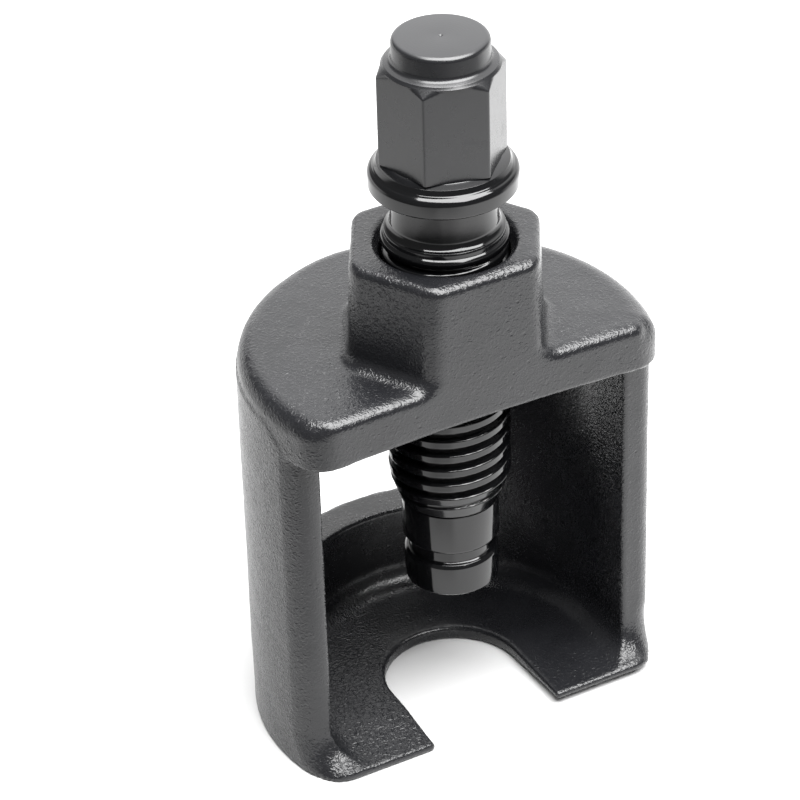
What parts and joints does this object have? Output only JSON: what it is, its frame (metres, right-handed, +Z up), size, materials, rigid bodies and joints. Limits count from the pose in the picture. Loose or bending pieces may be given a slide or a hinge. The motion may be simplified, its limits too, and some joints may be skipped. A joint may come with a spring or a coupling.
{
  "type": "ball joint separator",
  "caption": "Bell-shaped press tool: a forked foot slips under a ball joint, and a hexagon-headed screw with a swivel pad pushes the stud out.",
  "frame": {"origin": "on the screw axis, at the resting plane under the fork, which is also the centre of the fork's round end", "axes": "+Z up along the screw axis, -Y out of the open side and the fork's mouth, +X across the two legs"},
  "size_m": [0.0836, 0.06, 0.1532],
  "materials": {
    "painted_forging": "semi-gloss black paint over an as-forged, bumpy surface",
    "black_screw_steel": "smooth glossy black coating over turned and rolled steel",
    "black_pad_steel": "glossy black coating over turned steel",
    "spring_wire": "plain spring wire"
  },
  "bodies": {
    "bell": {"bell_body": "painted_forging"},
    "ring": {"pad_snap_ring": "spring_wire"},
    "screw": {"forcing_screw": "black_screw_steel"},
    "pad": {"swivel_pad": "black_pad_steel"}
  },
  "joints": [
    {"name": "screw_feed", "type": "slide", "parent": "bell", "child": "ring", "axis": [0, 0, 1], "range_m": [-0.01195, 0.04555]},
    {"name": "screw_turn", "type": "hinge", "parent": "ring", "child": "screw", "pos_m": [0, 0, 0], "axis": [0, 0, 1], "range_deg": [-1224, 4680]},
    {"name": "pad_swivel", "type": "hinge", "parent": "ring", "child": "pad", "pos_m": [0, 0, 0], "axis": [0, 0, 1], "continuous": true}
  ],
  "couplings": [
    {"joint": "screw_feed", "follows": "screw_turn", "m_per_rad": 0.00055704}
  ]
}
